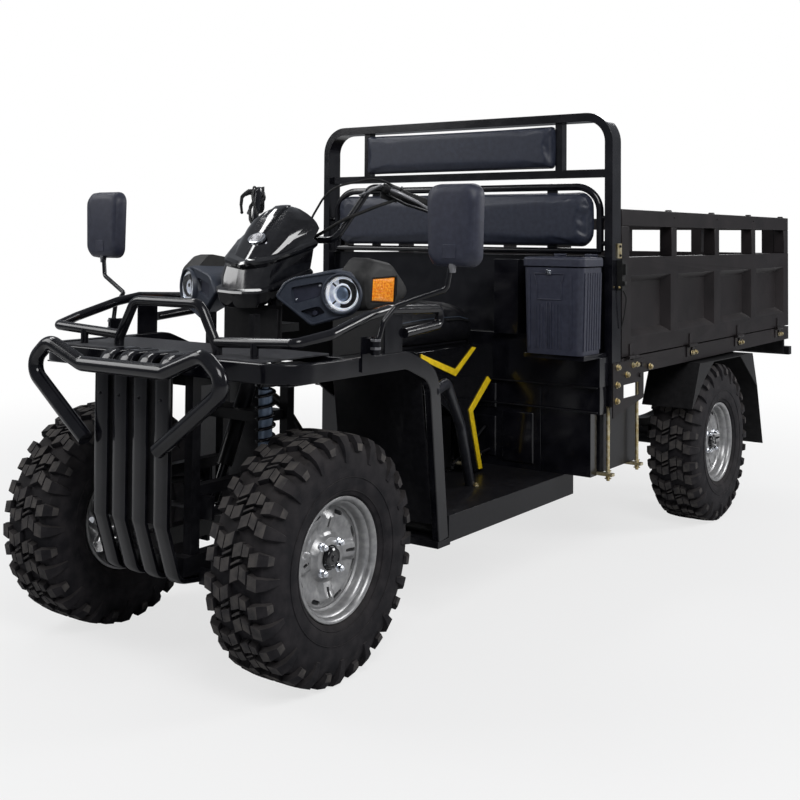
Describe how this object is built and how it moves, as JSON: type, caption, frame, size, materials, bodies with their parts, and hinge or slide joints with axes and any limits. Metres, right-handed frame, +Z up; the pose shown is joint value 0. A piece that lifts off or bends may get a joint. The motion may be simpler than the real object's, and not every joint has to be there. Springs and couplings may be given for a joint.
{
  "type": "four-wheeled cargo quad",
  "caption": "Utility quad with handlebar steering, saddle, front rack and guard, and a drop-side cargo bed behind a tall headboard.",
  "frame": {"origin": "under the middle of the bounding box, on the ground", "axes": "+Z up, the front faces -Y, the vehicle's left is +X"},
  "size_m": [1.58, 3.7209, 1.614],
  "materials": {
    "black_frame": "satin black paint",
    "black_gloss": "gloss black paint",
    "bed_paint": "satin brownish black paint",
    "plate_texture": "hammered black paint",
    "bare_steel": "machined",
    "spring_black": "gloss black paint",
    "engine_alloy": "cast, dark",
    "yellow_zinc": "yellow zinc plate",
    "rim_silver": "silver paint",
    "tyre": "matte",
    "pad_vinyl": "grained vinyl",
    "saddle_vinyl": "grained vinyl",
    "box_plastic": "matte",
    "pod_plastic": "matte",
    "black_plastic": "matte",
    "gloss_plastic": "gloss",
    "yellow_trim": "gloss",
    "lamp_lens": "clear",
    "amber_lens": "clear amber",
    "red_lens": "clear red"
  },
  "bodies": {
    "body": {"backrest_frame": "black_gloss", "backrest_pad": "pad_vinyl", "bed_floor": "bed_paint", "bed_frame": "bed_paint", "body_cover": "black_plastic", "bulkhead": "black_gloss", "bull_bar": "black_gloss", "chassis": "black_frame", "engine": "engine_alloy", "footboards": "black_frame", "front_cowl": "gloss_plastic", "front_fenders": "black_frame", "front_rack": "black_gloss", "grille": "black_gloss", "hanger_rods": "yellow_zinc", "head_pods": "pod_plastic", "headboard": "black_gloss", "headboard_pad": "pad_vinyl", "headlamps": "lamp_lens", "hung_boxes": "black_frame", "leaf_springs": "black_frame", "mirror_stalks": "black_gloss", "mirrors": "box_plastic", "rack_band": "black_gloss", "rack_plate": "plate_texture", "rear_axle": "black_frame", "rear_mudguards": "black_plastic", "saddle": "saddle_vinyl", "shocks": "spring_black", "side_panels": "gloss_plastic", "side_trims": "yellow_trim", "storage_box": "box_plastic", "suspension_arms": "black_frame", "tail_bar": "black_frame", "tail_lamps": "red_lens", "turn_signals": "amber_lens"},
    "left_upright": {"knuckle_left": "bare_steel"},
    "right_upright": {"knuckle_right": "bare_steel"},
    "steering_links": {"tie_rods": "bare_steel"},
    "steering": {"handlebar": "black_gloss"},
    "gate_left": {"side_gate_left": "bed_paint", "gate_posts_left": "bed_paint", "gate_rail_left": "bed_paint"},
    "gate_right": {"side_gate_right": "bed_paint", "gate_posts_right": "bed_paint", "gate_rail_right": "bed_paint"},
    "gate_tail": {"tailgate": "bed_paint"},
    "storage_lid": {"box_lid": "box_plastic"},
    "wheel_front_left": {"tyre_front_left": "tyre", "rim_front_left": "rim_silver"},
    "wheel_front_right": {"tyre_front_right": "tyre", "rim_front_right": "rim_silver"},
    "wheel_rear_left": {"tyre_rear_left": "tyre", "rim_rear_left": "rim_silver"},
    "wheel_rear_right": {"tyre_rear_right": "tyre", "rim_rear_right": "rim_silver"}
  },
  "joints": [
    {"name": "handlebar_turn", "type": "hinge", "parent": "body", "child": "steering", "pos_m": [0, -1.1585, 1.155], "axis": [0, 0.4067, 0.9135], "range_deg": [-25, 25]},
    {"name": "kingpin_left", "type": "hinge", "parent": "body", "child": "left_upright", "pos_m": [0.345, -1.5245, 0.325], "axis": [0, 0, 1], "range_deg": [-25, 25]},
    {"name": "kingpin_right", "type": "hinge", "parent": "body", "child": "right_upright", "pos_m": [-0.345, -1.5245, 0.325], "axis": [0, 0, 1], "range_deg": [-25, 25]},
    {"name": "tie_rod_slide", "type": "slide", "parent": "body", "child": "steering_links", "axis": [1, 0, 0], "range_m": [-0.0495, 0.0495]},
    {"name": "spin_front_left", "type": "hinge", "parent": "left_upright", "child": "wheel_front_left", "pos_m": [0.407, -1.5245, 0.325], "axis": [1, 0, 0], "continuous": true},
    {"name": "spin_front_right", "type": "hinge", "parent": "right_upright", "child": "wheel_front_right", "pos_m": [-0.407, -1.5245, 0.325], "axis": [1, 0, 0], "continuous": true},
    {"name": "spin_rear_left", "type": "hinge", "parent": "body", "child": "wheel_rear_left", "pos_m": [0.588, 0.7725, 0.325], "axis": [1, 0, 0], "continuous": true},
    {"name": "spin_rear_right", "type": "hinge", "parent": "body", "child": "wheel_rear_right", "pos_m": [-0.588, 0.7725, 0.325], "axis": [1, 0, 0], "continuous": true},
    {"name": "gate_left_hinge", "type": "hinge", "parent": "body", "child": "gate_left", "pos_m": [0.662, 0.7755, 0.744], "axis": [0, 1, 0], "range_deg": [0, 150]},
    {"name": "gate_right_hinge", "type": "hinge", "parent": "body", "child": "gate_right", "pos_m": [-0.662, 0.7755, 0.744], "axis": [0, -1, 0], "range_deg": [0, 150]},
    {"name": "tailgate_hinge", "type": "hinge", "parent": "body", "child": "gate_tail", "pos_m": [0, 1.8205, 0.744], "axis": [-1, 0, 0], "range_deg": [0, 90]},
    {"name": "box_lid_hinge", "type": "hinge", "parent": "body", "child": "storage_lid", "pos_m": [0.5205, -0.2315, 1.108], "axis": [-1, 0, 0], "range_deg": [0, 90]}
  ],
  "couplings": [
    {"joint": "kingpin_left", "follows": "handlebar_turn", "ratio": 1},
    {"joint": "kingpin_right", "follows": "handlebar_turn", "ratio": 1},
    {"joint": "tie_rod_slide", "follows": "handlebar_turn", "m_per_rad": -0.112}
  ]
}
